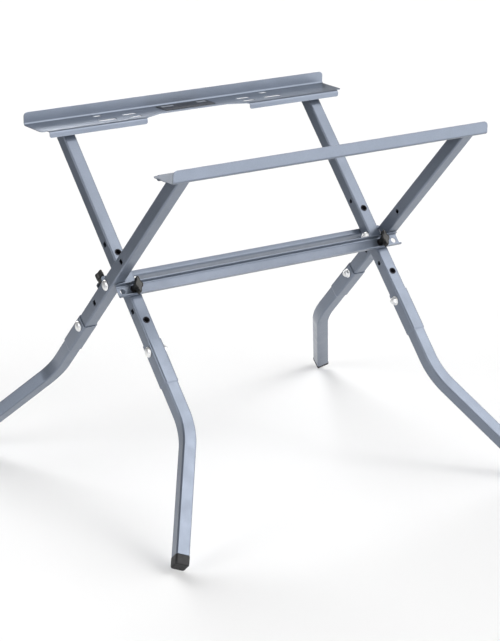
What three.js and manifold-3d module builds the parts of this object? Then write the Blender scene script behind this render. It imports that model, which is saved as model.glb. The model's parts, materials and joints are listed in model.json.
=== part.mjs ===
// Folding bench-tool stand: two crossed square-tube frames hinged on one cross axis.
// The inner frame carries the back rail and reaches the floor at the front; the outer frame carries the
// front rail and reaches the floor at the back. A clamped cross channel ties each pair of legs.
// Millimetres, +Z up, X along the rails, -Y to the front, origin on the floor under the middle.

import * as THREE from "three";
import { mergeVertices } from "three/addons/utils/BufferGeometryUtils.js";
import Module from "manifold-3d";

const wasm = await Module();
wasm.setup();

// ---------- driving dimensions ----------
const GAP = 0.3; // clearance between pieces that touch
const LEAN = THREE.MathUtils.degToRad(43); // each leg from the vertical
const SPLAY = THREE.MathUtils.degToRad(27.2); // outward bend of each lower leg

// Upper legs. Distances along a leg are measured down from the pivot.
const TUBE = 25;
const TUBE_CORNER = 3;
const TUBE_WALL = 1.5;
const INNER_LEG_X = 275;
const OUTER_LEG_X = 305.5;
const UPPER_END = 203;
const PIVOT_HOLES = [-78, 0, 60];
const INSERT_HOLES = [-53.5, 25, 85.5];

// Lower legs: a widened socket, a short shoulder, then plain tube with one large-radius bend.
const SOCKET = 28;
const SOCKET_WALL = 1.2;
const SOCKET_TOP = 125;
const SOCKET_BOLT = 141.5;
const SHOULDER = 4;
const SOCKET_END = 212;
const BEND_AT = 300.5; // where the two straight axes would cross
const BEND_RADIUS = 140;
const FOOT_REACH = 263; // from that crossing to the underside of the foot

// Top rails, bent from one sheet: upright flange, level shelf, short lip turned down.
const SHEET = 1.5;
const RAIL_BEND = 5; // radius of the sheet's middle line at each bend
const RAIL_LENGTH = 673;
const FLANGE_Y = 254.85; // middle of the flange's thickness
const LIP_Y = 182.75;
const SHELF_TOP = 646.6;
const FLANGE_HEIGHT = 23;
const FLANGE_CORNER = 8;
const LIP_DROP = 12;
const LIP_CORNER = 4;
const LIP_OUTER_X = 323;
const LIP_INNER_X = 115;
const WAIST_X = 76; // half length of the narrow middle of the shelf
const WAIST_Y = 201;
const TAB_Y = 190; // inner edge of the flat tabs at the shelf's ends
const SLOT_WIDTH = 9;
const SLOTS = [
  { x: 187, y: 245, length: 18 },
  { x: 185.5, y: 210, length: 40 },
  { x: 127.5, y: 227.5, length: 31 },
  { x: 127, y: 205, length: 28 },
];
const LABEL = { length: 114, width: 38, y: 231, thickness: 0.6 };

// Cross channels, each clamped to the upward face of one pair of legs just below the crossing.
const CHANNEL_SHEET = 1.5;
const CHANNEL_TOP = 12;
const CHANNEL_BOTTOM = 37;
const CHANNEL_DEPTH = 11.5;
const CHANNEL_BEND = 3.7;
const CHANNEL_HALF_LENGTH = 313;
const CHANNEL_HOLE_R = 5.2;
// How far each channel sits off the middle, and where its spare holes come, in its frame's own axes.
const CHANNEL_OFFSET = { inner: 3, outer: 0 };
const SPARE_HOLES = { inner: [-299.5, OUTER_LEG_X], outer: [-INNER_LEG_X, INNER_LEG_X] };
const STUD_AT = 25;

// Fasteners.
const SHANK_R = 4;
const HOLE_R = SHANK_R + GAP;
const HEAD_R = 9.8;
const HEAD_HEIGHT = 4.6;
const NECK = 8; // side of the square neck under a bolt's head
const NECK_LENGTH = 1.4;
const NUT_FLATS = 13;
const NUT_FLANGE_R = 8.8;
const NUT_HEIGHT = 8;
const BOLT_PAST_NUT = 2.5;
const INSERT_FLANGE = 0.8;
const INSERT_FLANGE_R = 6.4;
const INSERT_BODY_R = 5.5;
const INSERT_LENGTH = 11;
const WASHER = 1.5;
const WASHER_R = 8.2;
const KNOB_NECK = 9.5;
const KNOB_NECK_R = 6.2;
const KNOB_HEAD = 11;
const KNOB_HUB_R = 8;
const KNOB_WING = 8.6; // how far each of the two wings reaches past the hub
const KNOB_TURN = THREE.MathUtils.degToRad(10); // of the wings, from the leg's direction
const STUD_PAST_AXIS = 1;
const STUD_IN_KNOB = 12;

// Feet.
const PLUG_FLANGE = 4;
const PLUG_DEPTH = 14;
const BLOCK = 26;
const BLOCK_HEIGHT = 19;
const BLOCK_EDGE = 1.5;

const ARC_STEPS = 2; // straight pieces in a small rounded corner
const ROUND_STEPS = 12; // sides of a small round piece

// ---------- materials ----------
const material = (color, roughness, metalness) =>
  new THREE.MeshStandardMaterial({ color, roughness, metalness });
const PAINT = () => material(0x8f9bb0, 0.38, 0.55);
const ZINC = () => material(0xd5d8dc, 0.28, 0.95);
const DARK_STEEL = () => material(0x23232b, 0.5, 0.7);
const KNOB_PLASTIC = () => material(0x1b1b1a, 0.55, 0);
const FOOT_PLASTIC = () => material(0x222124, 0.65, 0);
const LABEL_FILM = () => material(0x3d3f4c, 0.45, 0);

// ---------- solids ----------
function solid(geometry) {
  const bare = geometry.index ? geometry.toNonIndexed() : geometry.clone();
  bare.deleteAttribute("normal");
  bare.deleteAttribute("uv");
  const merged = mergeVertices(bare, 1e-4);
  return new wasm.Manifold(
    new wasm.Mesh({
      numProp: 3,
      vertProperties: merged.attributes.position.array,
      triVerts: new Uint32Array(merged.index.array),
    }),
  );
}

function geometryOf(body) {
  const mesh = body.getMesh();
  const geometry = new THREE.BufferGeometry();
  geometry.setAttribute("position", new THREE.BufferAttribute(mesh.vertProperties, 3));
  geometry.setIndex(new THREE.BufferAttribute(mesh.triVerts, 1));
  const faceted = geometry.toNonIndexed();
  faceted.computeVertexNormals();
  return faceted;
}

function piece(name, body, finish) {
  const mesh = new THREE.Mesh(geometryOf(body), finish());
  mesh.name = name;
  return mesh;
}

function box(width, depth, height, x = 0, y = 0, z = 0) {
  return solid(new THREE.BoxGeometry(width, depth, height).translate(x, y, z));
}

function squareSection(side, corner) {
  const c = side / 2 - corner;
  const shape = new THREE.Shape();
  shape.absarc(c, c, corner, 0, Math.PI / 2);
  shape.absarc(-c, c, corner, Math.PI / 2, Math.PI);
  shape.absarc(-c, -c, corner, Math.PI, 1.5 * Math.PI);
  shape.absarc(c, -c, corner, 1.5 * Math.PI, 2 * Math.PI);
  return shape;
}

// A shape of the XY plane drawn out between two heights.
function prism(shape, bottom, top, curveSegments = ARC_STEPS) {
  const options = { depth: top - bottom, bevelEnabled: false, curveSegments };
  return solid(new THREE.ExtrudeGeometry(shape, options).translate(0, 0, bottom));
}

function lathe(points, steps = ROUND_STEPS) {
  const profile = points.map(([r, y]) => new THREE.Vector2(r, y));
  return new THREE.LatheGeometry(profile, steps);
}

// Round solids that stand along Z, from [radius, height] points going up the outside.
const turned = (points, steps) => solid(lathe(points, steps).rotateX(Math.PI / 2));

const rod = (radius, bottom, top, steps) =>
  turned([[0, bottom], [radius, bottom], [radius, top], [0, top]], steps);

const ring = (inner, outer, bottom, top) =>
  turned([[inner, bottom], [outer, bottom], [outer, top], [inner, top], [inner, bottom]]);

const alongX = (body) => body.rotate([0, 90, 0]);
const alongMinusY = (body) => body.rotate([90, 0, 0]);

// The outline of a bent sheet: the corners of its middle line, rounded, and half the thickness each side.
function sheetShape(corners, thickness, radius) {
  const steps = 3;
  const left = [];
  const right = [];
  const put = (point, along) => {
    const normal = new THREE.Vector2(-along.y, along.x).multiplyScalar(thickness / 2);
    left.push(point.clone().add(normal));
    right.push(point.clone().sub(normal));
  };
  const direction = (from, to) => to.clone().sub(from).normalize();
  put(corners[0], direction(corners[0], corners[1]));
  for (let i = 1; i < corners.length - 1; i++) {
    const before = direction(corners[i - 1], corners[i]);
    const after = direction(corners[i], corners[i + 1]);
    const turn = Math.atan2(before.cross(after), before.dot(after));
    const start = corners[i].clone().addScaledVector(before, -radius * Math.tan(Math.abs(turn) / 2));
    const toCentre = new THREE.Vector2(-before.y, before.x).multiplyScalar(Math.sign(turn) * radius);
    const centre = start.clone().add(toCentre);
    for (let k = 0; k <= steps; k++) {
      const angle = (turn * k) / steps;
      const spoke = toCentre.clone().negate().rotateAround(new THREE.Vector2(), angle);
      put(centre.clone().add(spoke), before.clone().rotateAround(new THREE.Vector2(), angle));
    }
  }
  const last = corners.length - 1;
  put(corners[last], direction(corners[last - 1], corners[last]));
  return new THREE.Shape([...left, ...right.reverse()]);
}

// A section given in the YZ plane, drawn out along X.
function alongRail(shape, halfLength) {
  const options = { depth: 2 * halfLength, bevelEnabled: false };
  const geometry = new THREE.ExtrudeGeometry(shape, options).translate(0, 0, -halfLength);
  const axes = [new THREE.Vector3(0, 1, 0), new THREE.Vector3(0, 0, 1), new THREE.Vector3(1, 0, 0)];
  return solid(geometry.applyMatrix4(new THREE.Matrix4().makeBasis(...axes)));
}

// What a rounded corner takes off, in the XZ plane: the corner at (x, z) that points along (outX, outZ).
function cornerCutter(x, z, outX, outZ, radius) {
  const margin = 2;
  const steps = 4;
  const points = [];
  for (let k = 0; k <= steps; k++) {
    const angle = (Math.PI / 2) * (k / steps);
    const across = radius * (1 - Math.cos(angle));
    const up = radius * (1 - Math.sin(angle));
    points.push(new THREE.Vector2(x - outX * across, z - outZ * up));
  }
  points.push(new THREE.Vector2(x - outX * radius, z + outZ * margin));
  points.push(new THREE.Vector2(x + outX * margin, z + outZ * margin));
  points.push(new THREE.Vector2(x + outX * margin, z - outZ * radius));
  const depth = 2 * (FLANGE_Y + TUBE);
  const geometry = new THREE.ExtrudeGeometry(new THREE.Shape(points), { depth, bevelEnabled: false });
  return solid(geometry.translate(0, 0, -depth / 2).rotateX(Math.PI / 2));
}

// ---------- top rails ----------
function slotCutter({ x, y, length }) {
  const radius = SLOT_WIDTH / 2;
  const reach = length / 2 - radius;
  const shape = new THREE.Shape();
  shape.absarc(x + reach, y, radius, -Math.PI / 2, Math.PI / 2);
  shape.absarc(x - reach, y, radius, Math.PI / 2, 1.5 * Math.PI);
  return prism(shape, SHELF_TOP - 2 * SHEET, SHELF_TOP + SHEET, 6);
}

// The middle of the shelf is set back, with a taper at each end, and has no lip.
function waistCutter() {
  const y = LIP_Y - 2 * SHEET;
  const outline = [
    [-LIP_INNER_X, y],
    [-LIP_INNER_X, LIP_Y + SHEET],
    [-WAIST_X, WAIST_Y],
    [WAIST_X, WAIST_Y],
    [LIP_INNER_X, LIP_Y + SHEET],
    [LIP_INNER_X, y],
  ];
  const shape = new THREE.Shape(outline.map(([px, py]) => new THREE.Vector2(px, py)));
  return prism(shape, SHELF_TOP - 2 * LIP_DROP, SHELF_TOP + SHEET);
}

function topRail() {
  const shelfMiddle = SHELF_TOP - SHEET / 2;
  const corners = [
    new THREE.Vector2(FLANGE_Y, SHELF_TOP + FLANGE_HEIGHT),
    new THREE.Vector2(FLANGE_Y, shelfMiddle),
    new THREE.Vector2(LIP_Y, shelfMiddle),
    new THREE.Vector2(LIP_Y, SHELF_TOP - LIP_DROP),
  ];
  let rail = alongRail(sheetShape(corners, SHEET, RAIL_BEND), RAIL_LENGTH / 2);
  rail = rail.subtract(waistCutter());
  for (const side of [-1, 1]) {
    const end = (side * RAIL_LENGTH) / 2;
    const tabLength = RAIL_LENGTH / 2 - LIP_OUTER_X;
    const tabCut = box(2 * tabLength, 20, 60, end, TAB_Y - 10, SHELF_TOP);
    rail = rail.subtract(tabCut);
    rail = rail.subtract(cornerCutter(end, SHELF_TOP + FLANGE_HEIGHT, side, 1, FLANGE_CORNER));
    const lipBottom = SHELF_TOP - LIP_DROP;
    rail = rail.subtract(cornerCutter(side * LIP_OUTER_X, lipBottom, side, -1, LIP_CORNER));
    rail = rail.subtract(cornerCutter(side * LIP_INNER_X, lipBottom, -side, -1, LIP_CORNER));
    for (const slot of SLOTS) rail = rail.subtract(slotCutter({ ...slot, x: side * slot.x }));
  }
  return rail;
}

function ratingLabel() {
  const bottom = SHELF_TOP + GAP;
  const shape = squareSection(LABEL.width, 2);
  const plate = prism(shape, bottom, bottom + LABEL.thickness);
  return plate.scale([LABEL.length / LABEL.width, 1, 1]).translate([0, LABEL.y, 0]);
}

// ---------- legs, in a frame whose origin is the pivot and whose Z runs up the leg ----------
// Straight down the leg, round the bend and out to the foot, with a station at each change.
class BentPath extends THREE.Curve {
  constructor(side, top, reach) {
    super();
    this.side = side;
    this.top = top;
    this.reach = reach;
    this.bendSteps = 6;
    this.steps = this.bendSteps + 2;
    this.tangentLength = BEND_RADIUS * Math.tan(SPLAY / 2);
  }
  along(angle) {
    return new THREE.Vector3(this.side * Math.sin(angle), 0, -Math.cos(angle));
  }
  getTangentAt(u, target = new THREE.Vector3()) {
    const step = THREE.MathUtils.clamp(u * this.steps - 1, 0, this.bendSteps);
    return target.copy(this.along((SPLAY * step) / this.bendSteps));
  }
  getPointAt(u, target = new THREE.Vector3()) {
    const step = u * this.steps - 1;
    const bendStart = -BEND_AT + this.tangentLength;
    if (step <= 0) return target.set(0, 0, THREE.MathUtils.lerp(this.top, bendStart, step + 1));
    if (step <= this.bendSteps) {
      const angle = (SPLAY * step) / this.bendSteps;
      const across = this.side * BEND_RADIUS * (1 - Math.cos(angle));
      return target.set(across, 0, bendStart - BEND_RADIUS * Math.sin(angle));
    }
    const last = step - this.bendSteps;
    const distance = THREE.MathUtils.lerp(this.tangentLength, this.reach, last);
    return target.set(0, 0, -BEND_AT).addScaledVector(this.along(SPLAY), distance);
  }
}

function bentBar(section, side, top, reach) {
  const path = new BentPath(side, top, reach);
  const options = { steps: path.steps, extrudePath: path, bevelEnabled: false, curveSegments: ARC_STEPS };
  return solid(new THREE.ExtrudeGeometry(section, options));
}

const boreSide = TUBE - 2 * TUBE_WALL;
const boreCorner = TUBE_CORNER - TUBE_WALL;

function lowerLeg(side, tubeReach) {
  const wide = SOCKET / 2 - TUBE / 2;
  const options = {
    depth: SOCKET_END - SOCKET_TOP - SHOULDER,
    bevelThickness: SHOULDER,
    bevelSize: wide,
    bevelSegments: 1,
    curveSegments: ARC_STEPS,
  };
  const socket = new THREE.ExtrudeGeometry(squareSection(TUBE, TUBE_CORNER), options);
  socket.translate(0, 0, SHOULDER - SOCKET_END);
  const aboveSocket = box(2 * SOCKET, 2 * SOCKET, SOCKET, 0, 0, SOCKET / 2 - SOCKET_TOP);
  const shell = solid(socket).subtract(aboveSocket);
  const bar = bentBar(squareSection(TUBE, TUBE_CORNER), side, SHOULDER - SOCKET_END, tubeReach);
  const mouthSide = SOCKET - 2 * SOCKET_WALL;
  const mouth = prism(squareSection(mouthSide, TUBE_CORNER + GAP), SHOULDER - SOCKET_END, 1 - SOCKET_TOP);
  const bore = bentBar(squareSection(boreSide, boreCorner), side, 2 * SHOULDER - SOCKET_END, tubeReach + 1);
  const neckHole = box(SOCKET / 2, NECK + 2 * GAP, NECK + 2 * GAP, side * SOCKET / 2, 0, -SOCKET_BOLT);
  const boltHole = alongX(rod(HOLE_R, -SOCKET, SOCKET)).translate([0, 0, -SOCKET_BOLT]);
  return shell.add(bar).subtract(mouth).subtract(bore).subtract(neckHole).subtract(boltHole);
}

function upperLeg(side, topCut) {
  const reachUp = 360;
  const bar = prism(squareSection(TUBE, TUBE_CORNER), -UPPER_END, reachUp);
  const bore = prism(squareSection(boreSide, boreCorner), -UPPER_END - 1, reachUp + 1);
  let leg = bar.subtract(bore).subtract(topCut);
  const punch = NECK + 2 * GAP;
  const squareHole = box(TUBE / 2, punch, punch, (side * TUBE) / 2);
  for (const down of PIVOT_HOLES) leg = leg.subtract(squareHole.translate([0, 0, -down]));
  for (const down of [...PIVOT_HOLES, SOCKET_BOLT])
    leg = leg.subtract(alongX(rod(HOLE_R, -TUBE, TUBE)).translate([0, 0, -down]));
  const insertHole = alongMinusY(rod(INSERT_BODY_R + GAP, TUBE / 4, TUBE));
  for (const down of INSERT_HOLES) leg = leg.subtract(insertHole.translate([0, 0, -down]));
  return leg;
}

// ---------- feet, in a frame whose origin is the tube's end and whose -Z runs out of the tube ----------
function plug() {
  const flange = prism(squareSection(TUBE, TUBE_CORNER), -PLUG_FLANGE, -GAP);
  return flange.add(plugBody(-GAP - 1));
}

function plugBody(bottom) {
  return prism(squareSection(boreSide - 2 * GAP, boreCorner), bottom, PLUG_DEPTH);
}

const threadedInsert = () => plugBody(GAP).subtract(rod(HOLE_R, -1, PLUG_DEPTH + 1));

function levellingFoot() {
  const corner = TUBE_CORNER - BLOCK_EDGE;
  const options = {
    depth: BLOCK_HEIGHT - 2 * BLOCK_EDGE,
    bevelThickness: BLOCK_EDGE,
    bevelSize: BLOCK_EDGE,
    bevelSegments: 2,
    curveSegments: ARC_STEPS,
  };
  const block = new THREE.ExtrudeGeometry(squareSection(BLOCK - 2 * BLOCK_EDGE, corner), options);
  block.translate(0, 0, BLOCK_EDGE - BLOCK_HEIGHT - GAP);
  return solid(block).add(rod(SHANK_R, -BLOCK_HEIGHT / 2, PLUG_DEPTH - 2));
}

// ---------- fasteners, standing along Z ----------
// A carriage bolt with its head's underside at 0, the head above and the shank below.
function carriageBolt(length) {
  const dome = [[0, -length], [SHANK_R - 0.8, -length], [SHANK_R, 0.8 - length], [SHANK_R, 0]];
  const steps = 5;
  for (let k = 0; k < steps; k++) {
    const angle = (Math.PI / 2) * (k / steps);
    dome.push([HEAD_R * Math.cos(angle), HEAD_HEIGHT * Math.sin(angle)]);
  }
  dome.push([0, HEAD_HEIGHT]);
  return turned(dome).add(box(NECK, NECK, NECK_LENGTH + 1, 0, 0, (1 - NECK_LENGTH) / 2));
}

// A flanged lock nut with its bearing face at 0 and its collar up.
function flangeNut() {
  const flange = turned([[0, 0], [NUT_FLANGE_R, 0], [NUT_FLANGE_R, 1.2], [NUT_FLATS / 2, 2.6], [0, 2.6]]);
  const hexRadius = NUT_FLATS / Math.sqrt(3);
  const hexagon = rod(hexRadius, 1, NUT_HEIGHT - 2, 6);
  const collar = rod(NUT_FLATS / 2 - 0.9, NUT_HEIGHT - 3, NUT_HEIGHT);
  return flange.add(hexagon).add(collar).subtract(rod(HOLE_R, -1, NUT_HEIGHT + 1));
}

function rivetNut() {
  const end = -INSERT_LENGTH;
  const bulge = -TUBE_WALL - 2 * GAP;
  return turned([
    [HOLE_R, end],
    [INSERT_BODY_R, end],
    [INSERT_BODY_R, bulge - 3],
    [INSERT_BODY_R + 0.8, bulge - 1.5],
    [INSERT_BODY_R, bulge],
    [INSERT_BODY_R, 0],
    [INSERT_FLANGE_R, 0],
    [INSERT_FLANGE_R, INSERT_FLANGE],
    [HOLE_R, INSERT_FLANGE],
    [HOLE_R, end],
  ]);
}

// A round hub with two narrow wings, on a neck that lifts it clear of the channel's flanges.
function knob() {
  const edge = 0.8;
  const outline = [];
  const count = 48;
  for (let k = 0; k < count; k++) {
    const angle = (2 * Math.PI * k) / count;
    const radius = KNOB_HUB_R - edge + KNOB_WING * Math.cos(angle) ** 24;
    outline.push(new THREE.Vector2(0, radius).rotateAround(new THREE.Vector2(), angle - KNOB_TURN));
  }
  const options = { depth: KNOB_HEAD - 2 * edge, bevelThickness: edge, bevelSize: edge, bevelSegments: 1 };
  const head = new THREE.ExtrudeGeometry(new THREE.Shape(outline), options);
  const neck = rod(KNOB_NECK_R, 0, KNOB_NECK + 1);
  const bore = rod(HOLE_R, -1, STUD_IN_KNOB + GAP);
  return solid(head.translate(0, 0, KNOB_NECK + edge)).add(neck).subtract(bore);
}

// ---------- cross channel ----------
const channelBack = TUBE / 2 + GAP + INSERT_FLANGE + GAP;
const channelFront = channelBack + CHANNEL_SHEET;

function crossChannel(frameName, legX) {
  const half = CHANNEL_SHEET / 2;
  const flangeEdge = -channelBack - CHANNEL_DEPTH;
  const corners = [
    new THREE.Vector2(flangeEdge, -CHANNEL_TOP - half),
    new THREE.Vector2(-channelBack - half, -CHANNEL_TOP - half),
    new THREE.Vector2(-channelBack - half, -CHANNEL_BOTTOM + half),
    new THREE.Vector2(flangeEdge, -CHANNEL_BOTTOM + half),
  ];
  let channel = alongRail(sheetShape(corners, CHANNEL_SHEET, CHANNEL_BEND), CHANNEL_HALF_LENGTH);
  channel = channel.translate([CHANNEL_OFFSET[frameName], 0, 0]);
  for (const x of [-legX, legX, ...SPARE_HOLES[frameName]])
    channel = channel.subtract(alongMinusY(rod(CHANNEL_HOLE_R, 0, 2 * TUBE)).translate([x, 0, -STUD_AT]));
  return channel;
}

// ---------- assembly ----------
// The pivot's height follows from the legs: the lowest rounded corner of each foot stands on the floor.
const cornerTilt = new THREE.Vector2(Math.sin(SPLAY) * Math.cos(LEAN), Math.sin(LEAN));
const cornerDrop =
  (TUBE / 2 - TUBE_CORNER) * (cornerTilt.x + cornerTilt.y) + TUBE_CORNER * cornerTilt.length();
const PIVOT_Z = (BEND_AT + FOOT_REACH * Math.cos(SPLAY)) * Math.cos(LEAN) + cornerDrop;

const legNames = { "-1": "left", 1: "right" };

// One frame's pair of legs with all that is fixed to them, in the frame's own axes:
// its upward faces are on -Y and its upper ends lean to +Y. Facing turns +X into the part's left or right.
function crossedFrame(frameName, legX, facing) {
  const frame = new THREE.Group();
  const shelfUnderside = SHELF_TOP - SHEET - GAP - PIVOT_Z;
  const topCut = box(4 * TUBE, 2 * SHELF_TOP, SHELF_TOP, 0, 0, shelfUnderside + SHELF_TOP / 2);
  const leanDegrees = THREE.MathUtils.radToDeg(LEAN);
  const levelCut = topCut.rotate([leanDegrees, 0, 0]);
  for (const side of [-1, 1]) {
    const label = `${frameName}_${legNames[side * facing]}`;
    const leg = new THREE.Group();
    leg.position.x = side * legX;
    leg.add(piece(`upper_leg_${label}`, upperLeg(side, levelCut), PAINT));
    leg.add(...sleeveBolt(label, side), ...inserts(label), ...clampKnob(label));
    const hasLeveller = frameName === "inner" && side * facing === -1;
    leg.add(...lowerLegAndFoot(label, side, hasLeveller));
    frame.add(leg);
  }
  frame.add(piece(`cross_channel_${frameName}`, crossChannel(frameName, legX), PAINT));
  return frame;
}

function inserts(label) {
  const face = -TUBE / 2 - GAP;
  return INSERT_HOLES.map((down, index) => {
    const body = alongMinusY(rivetNut()).translate([0, face, -down]);
    return piece(`rivet_nut_${label}_${index + 1}`, body, DARK_STEEL);
  });
}

function clampKnob(label) {
  const at = (body, distance) => alongMinusY(body).translate([0, -distance, -STUD_AT]);
  const washerAt = channelFront + GAP;
  const knobAt = washerAt + WASHER + GAP;
  const stud = rod(SHANK_R, -knobAt - STUD_PAST_AXIS, STUD_IN_KNOB);
  return [
    piece(`knob_washer_${label}`, at(ring(HOLE_R, WASHER_R, 0, WASHER), washerAt), DARK_STEEL),
    piece(`knob_${label}`, at(knob(), knobAt), KNOB_PLASTIC),
    piece(`knob_stud_${label}`, at(stud, knobAt), ZINC),
  ];
}

function sleeveBolt(label, side) {
  const half = SOCKET / 2 + GAP;
  const bolt = carriageBolt(2 * half + NUT_HEIGHT + BOLT_PAST_NUT);
  return [
    piece(`sleeve_bolt_${label}`, outward(bolt, side, half, -SOCKET_BOLT), ZINC),
    piece(`sleeve_nut_${label}`, outward(flangeNut(), -side, half, -SOCKET_BOLT), ZINC),
  ];
}

// Turns a piece that stands along Z to point along +X or -X, and sets it that far from the leg's axis.
function outward(body, side, distance, z) {
  return body.rotate([0, 90 * side, 0]).translate([side * distance, 0, z]);
}

function lowerLegAndFoot(label, side, hasLeveller) {
  const cover = hasLeveller ? BLOCK_HEIGHT + GAP : PLUG_FLANGE;
  const tubeReach = FOOT_REACH - cover;
  const foot = new THREE.Group();
  const end = new BentPath(side, 0, tubeReach).getPointAt(1);
  foot.position.copy(end);
  foot.rotation.y = -side * SPLAY;
  if (hasLeveller) {
    foot.add(piece(`foot_insert_${label}`, threadedInsert(), FOOT_PLASTIC));
    foot.add(piece(`levelling_foot_${label}`, levellingFoot(), FOOT_PLASTIC));
  } else foot.add(piece(`foot_plug_${label}`, plug(), FOOT_PLASTIC));
  return [piece(`lower_leg_${label}`, lowerLeg(side, tubeReach), PAINT), foot];
}

// Each pivot bolt runs from outside the outer leg, whose punched hole holds its neck, through the spacer
// and the inner leg to its nut.
function pivots(facing) {
  const pieces = [];
  const headAt = OUTER_LEG_X + TUBE / 2 + GAP;
  const nutAt = INNER_LEG_X - TUBE / 2 - GAP;
  const bolt = carriageBolt(headAt - nutAt + NUT_HEIGHT + BOLT_PAST_NUT);
  const between = [INNER_LEG_X + TUBE / 2 + GAP, OUTER_LEG_X - TUBE / 2 - GAP];
  const spacer = ring(HOLE_R, WASHER_R, 0, between[1] - between[0]);
  for (const side of [-1, 1]) {
    const name = legNames[side * facing];
    pieces.push(piece(`pivot_bolt_${name}`, outward(bolt, side, headAt, 0), ZINC));
    const nut = flangeNut().rotate([0, -90 * side, 0]).translate([side * nutAt, 0, 0]);
    pieces.push(piece(`pivot_nut_${name}`, nut, ZINC));
    pieces.push(piece(`pivot_spacer_${name}`, outward(spacer, side, between[0], 0), ZINC));
  }
  return pieces;
}

const stand = new THREE.Group();
stand.name = "folding_stand";

const pivot = new THREE.Group();
pivot.position.z = PIVOT_Z;
stand.add(pivot);

const innerFrame = crossedFrame("inner", INNER_LEG_X, 1);
innerFrame.rotation.x = -LEAN;
pivot.add(innerFrame);

const outerFrame = crossedFrame("outer", OUTER_LEG_X, -1);
outerFrame.add(...pivots(-1));
outerFrame.rotation.z = Math.PI;
const outerTilt = new THREE.Group();
outerTilt.rotation.x = LEAN;
outerTilt.add(outerFrame);
pivot.add(outerTilt);

stand.add(piece("top_rail_back", topRail(), PAINT));
const frontRail = piece("top_rail_front", topRail(), PAINT);
frontRail.rotation.z = Math.PI;
stand.add(frontRail);
stand.add(piece("rating_label", ratingLabel(), LABEL_FILM));

export default stand;
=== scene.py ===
"""Looks for the folding tool stand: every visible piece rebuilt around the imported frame."""

import json
import math

import bmesh
import bpy
from mathutils import Matrix, Vector


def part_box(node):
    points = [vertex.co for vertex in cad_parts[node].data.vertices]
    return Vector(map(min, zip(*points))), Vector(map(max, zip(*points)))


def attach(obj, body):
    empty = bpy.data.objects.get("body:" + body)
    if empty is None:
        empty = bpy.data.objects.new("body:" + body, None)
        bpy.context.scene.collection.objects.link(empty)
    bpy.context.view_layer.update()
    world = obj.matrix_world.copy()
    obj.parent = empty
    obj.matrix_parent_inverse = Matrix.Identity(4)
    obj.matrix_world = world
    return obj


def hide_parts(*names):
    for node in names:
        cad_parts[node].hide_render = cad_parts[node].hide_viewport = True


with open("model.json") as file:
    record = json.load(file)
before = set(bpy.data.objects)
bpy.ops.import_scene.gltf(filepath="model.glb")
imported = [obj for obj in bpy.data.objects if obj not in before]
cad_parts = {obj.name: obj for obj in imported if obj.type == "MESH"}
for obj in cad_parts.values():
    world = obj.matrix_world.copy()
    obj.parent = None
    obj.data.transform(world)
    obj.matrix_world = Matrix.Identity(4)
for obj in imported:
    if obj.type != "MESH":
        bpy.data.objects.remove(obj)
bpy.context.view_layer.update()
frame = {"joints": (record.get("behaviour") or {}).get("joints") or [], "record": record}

# ---------- places and sizes, in metres ----------
MM = 0.001
SIDES = {"left": -1, "right": 1}
joints = {joint["name"]: joint for joint in frame["joints"]}
mounts = {mount["name"]: mount for mount in frame["record"]["mounts"]}

PIVOT = Vector(joints["fold"]["pos_m"])
KNOB_AXIS = Vector(joints["knob_turn_inner_left"]["axis"])
FOOT_AXIS = Vector(joints["levelling_foot_travel"]["axis"])
LEAN = math.asin(KNOB_AXIS.z)  # each leg from the vertical
SPLAY = math.asin(-FOOT_AXIS.x)  # outward bend of each lower leg
SHELF_TOP = mounts["back_shelf"]["pos_m"][2]
RAIL_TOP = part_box("top_rail_back")[1].z
GAP = 0.3 * MM  # clearance between pieces that touch
CUT_PAST = 2 * MM  # how far a cutter reaches past what it cuts

TUBE = 25 * MM
TUBE_CORNER = 3 * MM
TUBE_WALL = 1.5 * MM
UPPER_END = 203 * MM
PIVOT_HOLES = [-78 * MM, 0, 60 * MM]  # distances down the leg from the pivot
INSERT_HOLES = [-53.5 * MM, 25 * MM, 85.5 * MM]
SOCKET = 28 * MM
SOCKET_WALL = 1.2 * MM
SOCKET_TOP = 125 * MM
SOCKET_BOLT = 141.5 * MM
SHOULDER = 4 * MM
SOCKET_END = 212 * MM
BEND_AT = 300.5 * MM
BEND_RADIUS = 140 * MM
FOOT_REACH = 263 * MM
BORE = TUBE - 2 * TUBE_WALL
BORE_CORNER = TUBE_CORNER - TUBE_WALL

SHEET = 1.5 * MM
BEND_INSIDE = 4.25 * MM  # the radius inside each of the rail's bends
LIP_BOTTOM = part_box("top_rail_back")[0].z
LIP_FACE_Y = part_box("top_rail_back")[0].y
FLANGE_FACE_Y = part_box("top_rail_back")[1].y
RAIL_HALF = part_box("top_rail_back")[1].x
FLANGE_CORNER = 8 * MM
LIP_CORNER = 4 * MM
LIP_OUTER_X = 323 * MM
LIP_INNER_X = 115 * MM
WAIST_X = 76 * MM
WAIST_Y = 201 * MM
WAIST_RISE = 3 * MM  # of the slope's start over the lip's face
WAIST_CORNER = 12 * MM
TAB_Y = 190 * MM
TAB_CORNER = 6 * MM
LIP_RELIEF = 1.5 * MM
SLOT_WIDTH = 9 * MM
SLOTS = [(187, 245, 18), (185.5, 210, 40), (127.5, 227.5, 31), (127, 205, 28)]  # x, y, length in mm
LABEL_CORNER = 3 * MM

CHANNEL_SHEET = 1.5 * MM
CHANNEL_BEND_INSIDE = 2.95 * MM
CHANNEL_TOP = 12 * MM
CHANNEL_BOTTOM = 37 * MM
CHANNEL_DEPTH = 11.5 * MM
CHANNEL_HOLE_R = 5.2 * MM
STUD_AT = 25 * MM

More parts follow.
